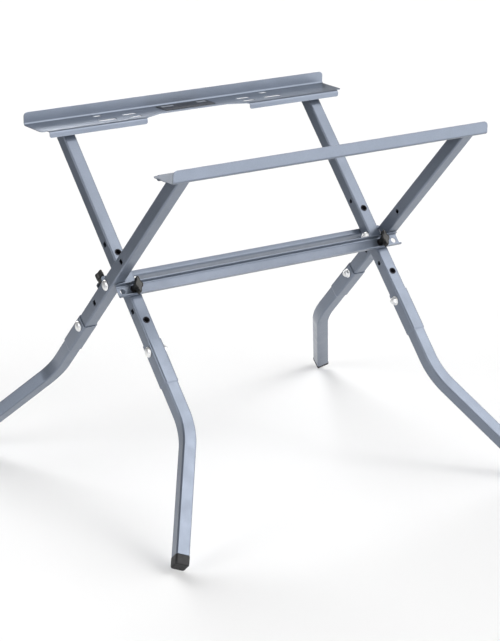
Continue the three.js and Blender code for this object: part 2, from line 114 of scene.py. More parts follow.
SHANK_R = 4 * MM
HOLE_R = SHANK_R + GAP
THREAD_PITCH = 1.25 * MM
HEAD_R = 9.8 * MM
HEAD_HEIGHT = 4.6 * MM
NECK = 8 * MM
PUNCHED_HOLE = 9.4 * MM
PUNCHED_CORNER = 0.6 * MM
NUT_FLATS = 13 * MM
NUT_FLANGE_R = 8.8 * MM
NUT_HEIGHT = 8 * MM
BOLT_PAST_NUT = 2.5 * MM
BOLT_THREAD = 14 * MM
INSERT_FLANGE = 0.8 * MM
INSERT_FLANGE_R = 6.4 * MM
INSERT_BODY_R = 5.5 * MM
INSERT_LENGTH = 11 * MM
CHANNEL_BACK = TUBE / 2 + 2 * GAP + INSERT_FLANGE  # the channel lies on the inserts' flanges
WASHER = 1.5 * MM
WASHER_R = 8.2 * MM
KNOB_NECK = 9.5 * MM
KNOB_NECK_R = 6.2 * MM
KNOB_HEAD = 11 * MM
KNOB_HUB_R = 8 * MM
KNOB_WING = 8.6 * MM  # how far each wing reaches past the hub
KNOB_TURN = math.radians(10)  # of the wings, from the leg's direction
STUD_PAST_AXIS = 1 * MM
STUD_IN_KNOB = 12 * MM
PLUG_FLANGE = 4 * MM
PLUG_DEPTH = 14 * MM
BLOCK = 26 * MM
BLOCK_HEIGHT = 19 * MM

# Widths of the softened edges, and the angles above which edges are softened or shaded sharp.
RAIL_EDGE = 0.35 * MM
CHANNEL_EDGE = 0.3 * MM
TUBE_EDGE = 0.25 * MM
PLUG_EDGE = 0.3 * MM
LABEL_EDGE = 0.15 * MM
WASHER_EDGE = 0.25 * MM
SPACER_EDGE = 0.3 * MM
BEVEL_ABOVE = math.radians(40)
SHARP_ABOVE = math.radians(50)

LEG_X = {
    name: sum(corner.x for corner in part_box(f"upper_leg_{name}_right")) / 2
    for name in ("inner", "outer")
}
# Where each channel's spare holes come, in its frame's own axes.
SPARE_HOLES = {"inner": (-299.5 * MM, LEG_X["outer"]), "outer": (-LEG_X["inner"], LEG_X["inner"])}
TO_MINUS_Y = Matrix.Rotation(math.pi / 2, 4, "X")


def frame_axes(name):
    """A crossed frame's own axes: pivot at the origin, Z up the leg, -Y out of its upward face."""
    at_pivot = Matrix.Translation(PIVOT)
    if name == "inner":
        return at_pivot @ Matrix.Rotation(-LEAN, 4, "X")
    return at_pivot @ Matrix.Rotation(LEAN, 4, "X") @ Matrix.Rotation(math.pi, 4, "Z")


# ---------- outlines ----------
def rounded(corners, steps=6):
    """A closed outline from (x, y, radius) corners, with each radius as an arc."""
    points = []
    count = len(corners)
    for i, (x, y, radius) in enumerate(corners):
        corner = Vector((x, y))
        if radius <= 0:
            points.append(corner)
            continue
        to_last = (Vector(corners[i - 1][:2]) - corner).normalized()
        to_next = (Vector(corners[(i + 1) % count][:2]) - corner).normalized()
        half = to_last.angle(to_next) / 2
        start = to_last * (radius / math.tan(half))
        end = to_next * (radius / math.tan(half))
        middle = (to_last + to_next).normalized() * (radius / math.sin(half))
        sweep = math.pi - 2 * half
        spoke = start - middle
        turn = math.copysign(sweep, spoke.cross(end - middle))
        for k in range(steps + 1):
            on_arc = Matrix.Rotation(turn * k / steps, 2) @ spoke
            points.append(corner + middle + on_arc)
    return points


def rectangle(width, depth, radius, x=0.0, y=0.0, steps=6):
    w, d = width / 2, depth / 2
    corners = [(x + w, y + d), (x - w, y + d), (x - w, y - d), (x + w, y - d)]
    return rounded([(*corner, radius) for corner in corners], steps)


def square(side, corner, steps=6):
    return rectangle(side, side, corner, steps=steps)


# ---------- meshes ----------
def loft(rings, wrap=False):
    """A closed skin over rings with equal counts of points. It wraps round or has two ends."""
    mesh = bmesh.new()
    loops = [[mesh.verts.new(point) for point in ring] for ring in rings]
    pairs = list(zip(loops, loops[1:]))
    if wrap:
        pairs.append((loops[-1], loops[0]))
    else:
        mesh.faces.new(loops[0])
        mesh.faces.new(loops[-1])
    for lower, upper in pairs:
        for i in range(len(lower)):
            mesh.faces.new([lower[i - 1], lower[i], upper[i], upper[i - 1]])
    bmesh.ops.recalc_face_normals(mesh, faces=mesh.faces)
    return mesh


def at_height(outline, z):
    return [Vector((point[0], point[1], z)) for point in outline]


def prism(outline, bottom, top):
    return loft([at_height(outline, bottom), at_height(outline, top)])


def turned(profile, steps=32):
    """A round solid about Z from (radius, height) points. One off the axis closes on itself."""
    angles = [2 * math.pi * k / steps for k in range(steps)]
    on_axis = profile[0][0] == 0
    rings = []
    for radius, z in profile[1:-1] if on_axis else profile:
        rings.append([Vector((radius * math.cos(a), radius * math.sin(a), z)) for a in angles])
    return loft(rings, wrap=not on_axis)


def rod(radius, bottom, top, steps=32):
    return turned([(0, bottom), (radius, bottom), (radius, top), (0, top)], steps)


def moved(mesh, matrix):
    mesh.transform(matrix)
    bmesh.ops.recalc_face_normals(mesh, faces=mesh.faces)
    return mesh


def joined(*meshes):
    """Several closed skins as one mesh."""
    together = bmesh.new()
    for mesh in meshes:
        part = bpy.data.meshes.new("part")
        mesh.to_mesh(part)
        together.from_mesh(part)
        mesh.free()
        bpy.data.meshes.remove(part)
    return together


def as_object(name, mesh):
    data = bpy.data.meshes.new(name)
    mesh.to_mesh(data)
    mesh.free()
    obj = bpy.data.objects.new(name, data)
    bpy.context.scene.collection.objects.link(obj)
    return obj


def bake_modifiers(obj):
    bpy.context.view_layer.update()
    graph = bpy.context.evaluated_depsgraph_get()
    final = bpy.data.meshes.new_from_object(obj.evaluated_get(graph))
    obj.modifiers.clear()
    obj.data = final


def combine(mesh, other, operation):
    """The exact union or difference of two closed skins."""
    body = as_object("body", mesh)
    tool = as_object("tool", other)
    step = body.modifiers.new("combine", "BOOLEAN")
    step.operation = operation
    step.solver = "EXACT"
    step.object = tool
    bake_modifiers(body)
    result = bmesh.new()
    result.from_mesh(body.data)
    bpy.data.objects.remove(tool)
    bpy.data.objects.remove(body)
    bmesh.ops.remove_doubles(result, verts=result.verts, dist=1e-6)
    return result


def cut(mesh, *cutters):
    for cutter in cutters:
        mesh = combine(mesh, cutter, "DIFFERENCE")
    return mesh


def piece(name, mesh, body, look, replaces=(), edge=0, place=None):
    """Finishes a mesh as a visible piece: soft edges, smooth curves, its look and its body."""
    slot, material = look
    obj = as_object(name, mesh)
    if place is not None:
        obj.data.transform(place)
    obj.data.materials.clear()
    obj.data.materials.append(material)
    if edge:
        bevel = obj.modifiers.new("edges", "BEVEL")
        bevel.width = edge
        bevel.segments = 2
        bevel.limit_method = "ANGLE"
        bevel.angle_limit = BEVEL_ABOVE
        bake_modifiers(obj)
    for face in obj.data.polygons:
        face.use_smooth = True
    obj.data.set_sharp_from_angle(angle=SHARP_ABOVE)
    weighted = obj.modifiers.new("normals", "WEIGHTED_NORMAL")
    weighted.keep_sharp = True
    weighted.weight = 100
    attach(obj, body)
    if replaces:
        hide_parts(*replaces)


# ---------- materials ----------
class Shader:
    """A node material built up step by step around one Principled shader."""

    def __init__(self, name):
        self.material = bpy.data.materials.new(name)
        self.material.use_nodes = True
        self.nodes = self.material.node_tree.nodes
        self.links = self.material.node_tree.links
        self.surface = self.nodes["Principled BSDF"]
        self.coordinates = self.nodes.new("ShaderNodeTexCoord").outputs["Object"]

    def set(self, **values):
        for name, value in values.items():
            self.surface.inputs[name.replace("_", " ").title()].default_value = value

    def link(self, output, socket):
        self.links.new(output, self.surface.inputs[socket])

    def noise(self, size, detail):
        """Noise with features about that many metres across."""
        node = self.nodes.new("ShaderNodeTexNoise")
        node.inputs["Scale"].default_value = 1 / size
        node.inputs["Detail"].default_value = detail
        self.links.new(self.coordinates, node.inputs["Vector"])
        return node.outputs["Fac"]

    def range(self, value, low, high, from_low=0.3, from_high=0.7):
        node = self.nodes.new("ShaderNodeMapRange")
        node.inputs["From Min"].default_value = from_low
        node.inputs["From Max"].default_value = from_high
        node.inputs["To Min"].default_value = low
        node.inputs["To Max"].default_value = high
        self.links.new(value, node.inputs["Value"])
        return node.outputs["Result"]

    def mix(self, factor, first, second):
        node = self.nodes.new("ShaderNodeMix")
        node.data_type = "RGBA"
        self.links.new(factor, node.inputs["Factor"])
        for socket, value in (("A", first), ("B", second)):
            target = next(s for s in node.inputs if s.name == socket and s.type == "RGBA")
            if isinstance(value, tuple):
                target.default_value = (*value, 1)
            else:
                self.links.new(value, target)
        return next(s for s in node.outputs if s.type == "RGBA")

    def edges(self, radius):
        """1 on edges, 0 on flats: how far a rounded normal differs from the true one."""
        bevel = self.nodes.new("ShaderNodeBevel")
        bevel.inputs["Radius"].default_value = radius
        true = self.nodes.new("ShaderNodeNewGeometry")
        dot = self.nodes.new("ShaderNodeVectorMath")
        dot.operation = "DOT_PRODUCT"
        self.links.new(bevel.outputs["Normal"], dot.inputs[0])
        self.links.new(true.outputs["Normal"], dot.inputs[1])
        sharp, flat = 0.82, 0.99
        return self.range(dot.outputs["Value"], 1, 0, sharp, flat)

    def bump(self, height, strength, distance):
        node = self.nodes.new("ShaderNodeBump")
        node.inputs["Strength"].default_value = strength
        node.inputs["Distance"].default_value = distance
        self.links.new(height, node.inputs["Height"])
        before = self.surface.inputs["Normal"]
        if before.is_linked:
            self.links.new(before.links[0].from_socket, node.inputs["Normal"])
        self.links.new(node.outputs["Normal"], before)


def paint():
    """Silver-blue metallic powder coat: fine flake, a slight orange peel, edges a little paler as a
    painted highlight.
    """
    shader = Shader("silver_blue_paint")
    shader.set(metallic=0.55, coat_weight=0.25, coat_roughness=0.2)
    drift = shader.range(shader.noise(60 * MM, 3), 0, 1)
    tone = shader.mix(drift, (0.134, 0.162, 0.21), (0.15, 0.178, 0.231))
    sparkle = shader.range(shader.noise(0.5 * MM, 1), 0, 0.3)
    flake = shader.mix(sparkle, tone, (0.34, 0.375, 0.445))
    # Painted highlight: every edge and bend is painted paler, as where light catches it.
    edge_wear_and_highlight = shader.range(shader.edges(0.8 * MM), 0, 0.35, 0, 1)
    shader.link(shader.mix(edge_wear_and_highlight, flake, (0.4, 0.44, 0.5)), "Base Color")
    shader.link(shader.range(shader.noise(25 * MM, 4), 0.3, 0.4), "Roughness")
    shader.bump(shader.noise(1.6 * MM, 2), 0.12, 0.05 * MM)
    shader.bump(shader.noise(0.35 * MM, 1), 0.1, 0.02 * MM)
    return "painted_steel", shader.material


def zinc():
    """Bright zinc plate with a faint warm and cool bloom and fine handling marks."""
    shader = Shader("zinc_plate")
    shader.set(metallic=0.7)
    drift = shader.range(shader.noise(5 * MM, 3), 0, 1)
    bloom = shader.mix(drift, (0.86, 0.88, 0.91), (0.92, 0.91, 0.88))
    shader.link(bloom, "Base Color")
    shader.link(shader.range(shader.noise(2 * MM, 5), 0.28, 0.44), "Roughness")
    shader.bump(shader.noise(0.5 * MM, 3), 0.15, 0.02 * MM)
    return "zinc_hardware", shader.material


def dark_steel():
    """Dark phosphated steel of the threaded inserts, also on the washers, where its darkness is
    partly painted shade of the knob's shadow.
    """
    shader = Shader("dark_phosphate_and_shade")
    shader.set(metallic=0.7)
    cloud = shader.mix(shader.noise(1.5 * MM, 4), (0.018, 0.018, 0.022), (0.05, 0.05, 0.06))
    shader.link(cloud, "Base Color")
    shader.link(shader.range(shader.noise(0.8 * MM, 3), 0.35, 0.55), "Roughness")
    shader.bump(shader.noise(0.4 * MM, 2), 0.2, 0.03 * MM)
    return "dark_insert", shader.material


def moulded(slot, name, tones, grain, roughness):
    """Moulded plastic with a fine spark-eroded grain, paler where handling has rubbed its edges."""
    shader = Shader(name)
    dark, light = tones
    cloud = shader.mix(shader.range(shader.noise(8 * MM, 4), 0, 1), dark, light)
    rubbed = tuple(3 * value for value in light)
    edge_wear_and_highlight = shader.range(shader.edges(0.7 * MM), 0, 0.4, 0, 1)
    shader.link(shader.mix(edge_wear_and_highlight, cloud, rubbed), "Base Color")
    uneven = shader.range(shader.noise(4 * MM, 3), roughness - 0.07, roughness + 0.07)
    shader.link(uneven, "Roughness")
    shader.bump(shader.noise(grain, 2), 0.35, 0.06 * MM)
    return slot, shader.material


def film(name, color, roughness):
    """Printed label film, smooth, with a faint unevenness in its gloss."""
    shader = Shader(name)
    shader.set(coat_weight=0.1, coat_roughness=0.2)
    lighter = tuple(min(1, 1.25 * value) for value in color)
    drift = shader.range(shader.noise(12 * MM, 3), 0, 1)
    shader.link(shader.mix(drift, color, lighter), "Base Color")
    uneven = shader.range(shader.noise(6 * MM, 3), roughness - 0.05, roughness + 0.05)
    shader.link(uneven, "Roughness")
    shader.bump(shader.noise(3 * MM, 2), 0.05, 0.03 * MM)
    return "label_film", shader.material


def floor_material():
    shader = Shader("pale_floor")
    tone = shader.mix(shader.noise(0.6, 3), (0.9, 0.9, 0.9), (0.92, 0.92, 0.92))
    shader.link(tone, "Base Color")
    shader.set(roughness=0.9)
    return shader.material


BLACK_KNOB = ((0.006, 0.006, 0.006), (0.014, 0.0135, 0.012))  # darker and lighter tones
# Paler grey for the knob's face: painted light, where light falls on the black face.
KNOB_LIT_GREY = ((0.05, 0.049, 0.047), (0.075, 0.073, 0.07))
BLACK_FOOT = ((0.006, 0.006, 0.0065), (0.013, 0.013, 0.0135))
# Each look is the name of a slot and the material that fills it.
PAINT = paint()
ZINC = zinc()
DARK = dark_steel()
KNOB_PLASTIC = moulded("knob_plastic", "knob_plastic", BLACK_KNOB, 0.35 * MM, 0.42)
KNOB_LIT_FACE = moulded("knob_plastic", "knob_lit_face", KNOB_LIT_GREY, 0.35 * MM, 0.42)
FOOT_PLASTIC = moulded("foot_plastic", "foot_plastic", BLACK_FOOT, 0.5 * MM, 0.55)
LABEL_FILM = film("label_film", (0.009, 0.01, 0.015), 0.45)
LABEL_FIELD = film("label_field", (0.3, 0.32, 0.35), 0.4)


# ---------- top rails ----------
def corner_cutter(x, z, out_x, out_z, radius):
    """What a rounded corner takes off in the XZ plane, right through the rail's width."""
    margin, steps = CUT_PAST, 8
    points = []
    for k in range(steps + 1):
        angle = math.pi / 2 * k / steps
        across = x - out_x * radius * (1 - math.cos(angle))
        points.append((across, z - out_z * radius * (1 - math.sin(angle))))
    points += [
        (x - out_x * radius, z + out_z * margin),
        (x + out_x * margin, z + out_z * margin),
        (x + out_x * margin, z - out_z * radius),
    ]
    near, far = LIP_FACE_Y - margin, FLANGE_FACE_Y + margin
    return loft([[Vector((px, y, pz)) for px, pz in points] for y in (near, far)])


def plan_cutters(side):
    """The slots, the flat tab at the shelf's end and the relief beside the lip, on one side."""
    below, above = LIP_BOTTOM - CUT_PAST, SHELF_TOP + CUT_PAST
    cutters = []
    slot_end = 0.495 * SLOT_WIDTH
    for x, y, length in SLOTS:
        outline = rectangle(length * MM, SLOT_WIDTH, slot_end, side * x * MM, y * MM, steps=8)
        cutters.append(prism(outline, SHELF_TOP - 2 * SHEET, above))
    end, lip, relief = RAIL_HALF + 2 * CUT_PAST, LIP_OUTER_X, LIP_RELIEF
    low, high = LIP_FACE_Y - 2 * CUT_PAST, TAB_Y + TAB_CORNER + CUT_PAST
    tab = [
        (side * end, low, 0),
        (side * end, high, 0),
        (side * RAIL_HALF, high, 0),
        (side * RAIL_HALF, TAB_Y, TAB_CORNER),
        (side * (lip + 3 * relief), TAB_Y, 0),
        (side * (lip + 3 * relief), TAB_Y + relief, relief * 0.7),
        (side * lip, TAB_Y + relief, relief * 0.9),
        (side * lip, low, 0),
    ]
    cutters.append(prism(rounded(tab, 5), below, above))
    return cutters


def waist_cutter():
    """The recess in the middle of the shelf's near edge, which parts the lip in two."""
    right = [
        (LIP_INNER_X, LIP_FACE_Y - 2 * CUT_PAST, 0),
        (LIP_INNER_X, LIP_FACE_Y + WAIST_RISE, 0),
        (WAIST_X, WAIST_Y, WAIST_CORNER),
    ]
    left = [(-x, y, r) for x, y, r in reversed(right)]
    return prism(rounded(right + left), LIP_BOTTOM - CUT_PAST, SHELF_TOP + CUT_PAST)


def rail_mesh():
    """One bent sheet: upright flange, slotted shelf, turned-down lip."""
    inside, outside = BEND_INSIDE, BEND_INSIDE + SHEET
    under = SHELF_TOP - SHEET
    profile = [
        (FLANGE_FACE_Y, RAIL_TOP, 0),
        (FLANGE_FACE_Y - SHEET, RAIL_TOP, 0),
        (FLANGE_FACE_Y - SHEET, SHELF_TOP, inside),
        (LIP_FACE_Y, SHELF_TOP, outside),
        (LIP_FACE_Y, LIP_BOTTOM, 0),
        (LIP_FACE_Y + SHEET, LIP_BOTTOM, 0),
        (LIP_FACE_Y + SHEET, under, inside),
        (FLANGE_FACE_Y, under, outside),
    ]
    outline = rounded(profile)
    mesh = loft([[Vector((x, y, z)) for y, z in outline] for x in (-RAIL_HALF, RAIL_HALF)])
    mesh = cut(mesh, waist_cutter())
    for side in SIDES.values():
        mesh = cut(
            mesh,
            *plan_cutters(side),
            corner_cutter(side * RAIL_HALF, RAIL_TOP, side, 1, FLANGE_CORNER),
            corner_cutter(side * LIP_OUTER_X, LIP_BOTTOM, side, -1, LIP_CORNER),
            corner_cutter(side * LIP_INNER_X, LIP_BOTTOM, -side, -1, LIP_CORNER),
        )
    return mesh


def make_rails():
    for name, body, turn in (("back", "inner_frame", 0), ("front", "outer_frame", math.pi)):
        node = f"top_rail_{name}"
        place = Matrix.Rotation(turn, 4, "Z")
        piece(f"{node}_sheet", rail_mesh(), body, PAINT, [node], RAIL_EDGE, place)


def make_label():
    """The rating label, with two blank pale fields and no wording."""
    low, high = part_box("rating_label")
    middle, size = (low + high) / 2, high - low
    plate = prism(rectangle(size.x, size.y, LABEL_CORNER, middle.x, middle.y), low.z, high.z)
    piece("rating_label_film", plate, "inner_frame", LABEL_FILM, ["rating_label"], LABEL_EDGE)
    sunk, proud = 0.05 * MM, 0.06 * MM
    # The middle's x and y, the width and the depth of each field.
    fields = [(-36 * MM, 8 * MM, 26 * MM, 8 * MM), (40 * MM, 8 * MM, 20 * MM, 9 * MM)]
    for number, (x, y, width, depth) in enumerate(fields, 1):
        outline = rectangle(width, depth, LABEL_CORNER / 3, middle.x + x, middle.y + y)
        mesh = prism(outline, high.z - sunk, high.z + proud)
        piece(f"rating_label_field_{number}", mesh, "inner_frame", LABEL_FIELD)


# ---------- legs ----------
def down_leg(distance):
    return Matrix.Translation((0, 0, -distance))


def level_cut(point):
    """How high in the leg's axes a level cut just under the shelf meets a point of its section."""
    room = SHELF_TOP - SHEET - GAP - PIVOT.z
    return (room + point[1] * math.sin(LEAN)) / math.cos(LEAN)


def upper_leg(side):
    """Square tube, cut level at its top, with punched holes outside and round ones inside."""
    outer, inner = square(TUBE, TUBE_CORNER), square(BORE, BORE_CORNER)
    top = [[Vector((p[0], p[1], level_cut(p))) for p in outline] for outline in (outer, inner)]
    bottom = [at_height(outline, -UPPER_END) for outline in (outer, inner)]
    mesh = loft([top[0], bottom[0], bottom[1], top[1]], wrap=True)
    outward = Matrix.Rotation(side * math.pi / 2, 4, "Y")
    inward = Matrix.Rotation(-side * math.pi / 2, 4, "Y")
    for down in PIVOT_HOLES:
        punched = prism(square(PUNCHED_HOLE, PUNCHED_CORNER, 3), 0, TUBE)
        mesh = cut(mesh, moved(punched, down_leg(down) @ outward))
    for down in [*PIVOT_HOLES, SOCKET_BOLT]:
        start = -TUBE if down == SOCKET_BOLT else 0
        mesh = cut(mesh, moved(rod(HOLE_R, start, TUBE, 24), down_leg(down) @ inward))
    for down in INSERT_HOLES:
        hole = rod(INSERT_BODY_R + GAP, TUBE / 4, TUBE, 32)
        mesh = cut(mesh, moved(hole, down_leg(down) @ TO_MINUS_Y))
    return mesh


def along_bend(side, angle):
    """The place on the bend's arc, with -Z pointing on down the tube."""
    start = -BEND_AT + BEND_RADIUS * math.tan(SPLAY / 2)
    across = side * BEND_RADIUS * (1 - math.cos(angle))
    point = Vector((across, 0, start - BEND_RADIUS * math.sin(angle)))
    return Matrix.Translation(point) @ Matrix.Rotation(-side * angle, 4, "Y")


def tube_end(side, reach):
    """The place at the lower leg's end, that far past the corner of its bend."""
    return down_leg(BEND_AT) @ Matrix.Rotation(-side * SPLAY, 4, "Y") @ down_leg(reach)


def ring_at(matrix, side_length, corner):
    return [matrix @ point for point in at_height(square(side_length, corner), 0)]


def lower_leg(side, reach):
    """A widened socket, a drawn-in shoulder, then plain tube round one large bend."""
    bend_steps, shoulder_steps = 20, 6
    bend = [along_bend(side, SPLAY * k / bend_steps) for k in range(bend_steps + 1)]
    path = [*bend, tube_end(side, reach)]
    shoulder_at = SOCKET_END - SHOULDER
    outer = [ring_at(down_leg(SOCKET_TOP), SOCKET, TUBE_CORNER + SOCKET_WALL)]
    for k in range(shoulder_steps + 1):
        share = k / shoulder_steps
        ease = share * share * (3 - 2 * share)
        size = SOCKET + (TUBE - SOCKET) * ease
        at = SOCKET_END - SHOULDER * (1 - share)
        outer.append(ring_at(down_leg(at), size, TUBE_CORNER + SOCKET_WALL * (1 - ease)))
    outer += [ring_at(matrix, TUBE, TUBE_CORNER) for matrix in path]
    inner = [ring_at(matrix, BORE, BORE_CORNER) for matrix in reversed(path)]
    inner.append(ring_at(down_leg(shoulder_at), BORE, BORE_CORNER))
    mouth = SOCKET - 2 * SOCKET_WALL
    inner.append(ring_at(down_leg(shoulder_at), mouth, TUBE_CORNER + GAP))
    inner.append(ring_at(down_leg(SOCKET_TOP), mouth, TUBE_CORNER + GAP))
    mesh = loft(outer + inner, wrap=True)
    place = down_leg(SOCKET_BOLT)
    neck_hole = prism(square(NECK + 2 * GAP, PUNCHED_CORNER, 3), 0, SOCKET)
    round_hole = rod(HOLE_R, 0, SOCKET, 24)
    turn = side * math.pi / 2
    return cut(
        mesh,
        moved(neck_hole, place @ Matrix.Rotation(turn, 4, "Y")),
        moved(round_hole, place @ Matrix.Rotation(-turn, 4, "Y")),
    )


def weld_bead():
    """The bead round the top of a leg, where it meets the underside of the shelf."""
    stand_off, spacing, drop, sides = 0.3 * MM, 1.1 * MM, 0.9 * MM, 10
    thickness, ripple, wave = 1.5 * MM, 0.22 * MM, 3  # wave counts the rings to a ripple
    path = square(TUBE + 2 * stand_off, TUBE_CORNER + stand_off, 4)
    spots = []
    for a, b in zip(path, path[1:] + path[:1]):
        count = max(1, round((b - a).length / spacing))
        spots += [a.lerp(b, k / count) for k in range(count)]
    rings = []
    for i, spot in enumerate(spots):
        along = (spots[(i + 1) % len(spots)] - spots[i - 1]).normalized()
        out = Vector((along.y, -along.x, 0))
        middle = Vector((spot.x, spot.y, level_cut(spot) - drop))
        size = thickness + ripple * math.sin(i * 2 * math.pi / wave)
        ring = []
        for k in range(sides):
            angle = 2 * math.pi * k / sides
            rise = Vector((0, 0, 0.6 * size * math.sin(angle)))
            ring.append(middle + out * (size * math.cos(angle)) + rise)
        rings.append(ring)
    return loft(rings, wrap=True)


# ---------- fasteners, along Z ----------
def threads(radius, bottom, top, depth=0.5 * MM):
    """Profile points of a threaded length, from the bottom up."""
    count = max(1, int((top - bottom) / THREAD_PITCH))
    points = []
    for k in range(count):
        z = bottom + k * THREAD_PITCH
        points += [(radius - depth, z), (radius, z + 0.5 * THREAD_PITCH)]
    return points


def carriage_bolt(length):
    """Domed head with its underside at 0, a square neck and a shank threaded at its end."""
    taper, tip, rim, steps = 1.1 * MM, 0.6 * MM, 0.6 * MM, 12
    thread_top = BOLT_THREAD - length
    profile = [(0, -length), (SHANK_R - taper, -length)]
    profile += threads(SHANK_R, tip - length, thread_top)
    profile += [(SHANK_R, thread_top), (SHANK_R, 0)]
    profile += [(HEAD_R - 0.3 * MM, 0), (HEAD_R, 0.35 * MM)]
    for k in range(1, steps):
        angle = math.pi / 2 * k / steps
        profile.append((HEAD_R * math.cos(angle), rim + (HEAD_HEIGHT - rim) * math.sin(angle)))
    profile.append((0, HEAD_HEIGHT))
    neck = prism(square(NECK, 0.5 * MM, 2), -1.4 * MM, 0.2 * MM)
    return joined(turned(profile, 48), neck)


def flange_nut():
    """Hexagon flange lock nut with its bearing face at 0 and its collar up."""
    steps = 48
    top, collar = NUT_HEIGHT - 2 * MM, NUT_FLATS / 2 - 0.7 * MM
    hexagon = []
    for k in range(steps):
        angle = 2 * math.pi * k / steps
        apart = (angle + math.pi / 6) % (math.pi / 3) - math.pi / 6
        hexagon.append((angle, NUT_FLATS / 2 / math.cos(apart)))
    slope = 0.58  # of the chamfer that rounds off the hexagon's corners
    chamfer = [(angle, r, top - slope * (r - NUT_FLATS / 2)) for angle, r in hexagon]

    def around(radius, z):
        return [(angle, radius, z) for angle, _ in hexagon]

    rings = [
        around(NUT_FLANGE_R - 0.4 * MM, 0),
        around(NUT_FLANGE_R, 0.35 * MM),
        around(NUT_FLANGE_R - 0.1 * MM, 0.9 * MM),
        [(angle, r + 0.5 * MM, 1.9 * MM) for angle, r in hexagon],
        [(angle, r, 2.5 * MM) for angle, r in hexagon],
        chamfer,
        around(NUT_FLATS / 2 - 0.2 * MM, top),
        around(collar, top + 0.2 * MM),
        around(collar - 0.1 * MM, NUT_HEIGHT - 0.7 * MM),
        around(collar - 0.8 * MM, NUT_HEIGHT),
        around(HOLE_R + 0.4 * MM, NUT_HEIGHT),
        around(HOLE_R, NUT_HEIGHT - 0.4 * MM),
        around(HOLE_R, 0.6 * MM),
        around(HOLE_R + 0.4 * MM, 0),
    ]
    skin = [[Vector((r * math.cos(a), r * math.sin(a), z)) for a, r, z in ring] for ring in rings]
    return loft(skin, wrap=True)


def ring_mesh(inner, outer, height, soft):
    """A washer or spacer with softened edges, from 0 up."""
    return turned(
        [
            (inner + soft, 0),
            (outer - soft, 0),
            (outer, soft),
            (outer, height - soft),
            (outer - soft, height),
            (inner + soft, height),
            (inner, height - soft),
            (inner, soft),
        ],
        40,
    )


def rivet_nut():
    """Threaded insert: thin flange at the tube's face, bulged body behind the wall."""
    end, bulge, depth = -INSERT_LENGTH, -TUBE_WALL - 2 * GAP, 0.3 * MM
    profile = [
        (HOLE_R + depth, end),
        (INSERT_BODY_R - 0.3 * MM, end),
        (INSERT_BODY_R, end + 0.3 * MM),
        (INSERT_BODY_R, bulge - 3 * MM),
        (INSERT_BODY_R + 0.8 * MM, bulge - 1.5 * MM),
        (INSERT_BODY_R, bulge),
        (INSERT_BODY_R, 0),
        (INSERT_FLANGE_R, 0),
        (INSERT_FLANGE_R, INSERT_FLANGE - 0.25 * MM),
        (INSERT_FLANGE_R - 0.3 * MM, INSERT_FLANGE),
        (HOLE_R + 0.7 * MM, INSERT_FLANGE),
    ]
    ridges = threads(HOLE_R + depth, end + 0.6 * MM, 0, depth)
    grooves = [(r + 2 * (HOLE_R - r) + depth, z) for r, z in reversed(ridges)]
    return turned(profile + grooves, 32)


def stud(bottom, top):
    chamfer = 0.9 * MM
    profile = [(0, bottom), (SHANK_R - chamfer, bottom)]
    profile += threads(SHANK_R, bottom + chamfer, top - chamfer)
    profile += [(SHANK_R - 0.3 * MM, top), (0, top)]
    return turned(profile, 32)


def winged(hub, wing, steps=144):
    """A round outline with two narrow wings, close to the Y direction."""
    narrowness = 24  # an even power of the cosine that shapes the wings
    outline = []
    for k in range(steps):
        angle = 2 * math.pi * k / steps
        radius = hub + wing * math.cos(angle) ** narrowness
        turned_angle = angle + math.pi / 2 - KNOB_TURN
        outline.append(Vector((radius * math.cos(turned_angle), radius * math.sin(turned_angle))))
    return outline


def knob():
    """Two-winged clamp knob: waisted neck, rounded head with a sunk face, and a blind bore."""
    base, top = KNOB_NECK, KNOB_NECK + KNOB_HEAD
    hub, wing = KNOB_HUB_R, KNOB_WING
    # Hub radius, reach of the wings and height, from the bore's end out and round to the face.
    levels = [
        (HOLE_R, 0, STUD_IN_KNOB + GAP),
        (HOLE_R, 0, 0.4 * MM),
        (HOLE_R + 0.4 * MM, 0, 0),
        (KNOB_NECK_R - 0.5 * MM, 0, 0),
        (KNOB_NECK_R, 0, 0.5 * MM),
        (KNOB_NECK_R - 0.5 * MM, 0, base - 3 * MM),
        (KNOB_NECK_R, 0, base - 0.6 * MM),
        (KNOB_NECK_R + 0.8 * MM, 0, base),
        (hub - 0.8 * MM, 0.93 * wing, base),
        (hub - 0.2 * MM, 0.99 * wing, base + 0.3 * MM),
        (hub, wing, base + 0.9 * MM),
        (hub, wing, top - 1.5 * MM),
        (hub - 0.15 * MM, 0.99 * wing, top - 0.7 * MM),
        (hub - 0.6 * MM, 0.96 * wing, top - 0.15 * MM),
        (hub - 1.1 * MM, 0.93 * wing, top),
        (hub - 1.7 * MM, 0.9 * wing, top),
        (hub - 2.1 * MM, 0.87 * wing, top - 0.5 * MM),
        (hub - 4 * MM, 0.5 * wing, top - 0.6 * MM),
        (hub - 6 * MM, 0, top - 0.6 * MM),
    ]
    return loft([at_height(winged(radius, reach), z) for radius, reach, z in levels])


def knob_lit_face():
    """A paler panel in the knob's sunk face: a painted highlight for the light that falls on that
    face.
    """
    sunk, thickness, inset = 0.45 * MM, 0.3 * MM, 2.3 * MM
    top = KNOB_NECK + KNOB_HEAD - sunk
    return prism(winged(KNOB_HUB_R - inset, 0.85 * KNOB_WING), top - thickness, top)


# ---------- feet, below the tube's end along -Z ----------
def plug_body(bottom):
    return prism(square(BORE - 2 * GAP, BORE_CORNER), bottom, PLUG_DEPTH)


def foot_plug():
    """Push-in plug: a cap with a thin skirt round the tube's end, and a body inside the tube."""
    # Height over the tube's end and how far each side stands proud of the tube, in mm.
    levels = ((3.6, 0.3), (3.3, 0.5), (-2.9, 0.5), (-3.7, 0), (-4, -1.2))
    rings = [at_height(square(TUBE + 2 * out * MM, TUBE_CORNER), z * MM) for z, out in levels]
    cap = cut(loft(rings), prism(square(TUBE, TUBE_CORNER), -GAP, 5 * MM))
    return combine(cap, plug_body(-GAP - 1 * MM), "UNION")


def foot_insert():
    return cut(plug_body(GAP), rod(HOLE_R, -MM, PLUG_DEPTH + MM))


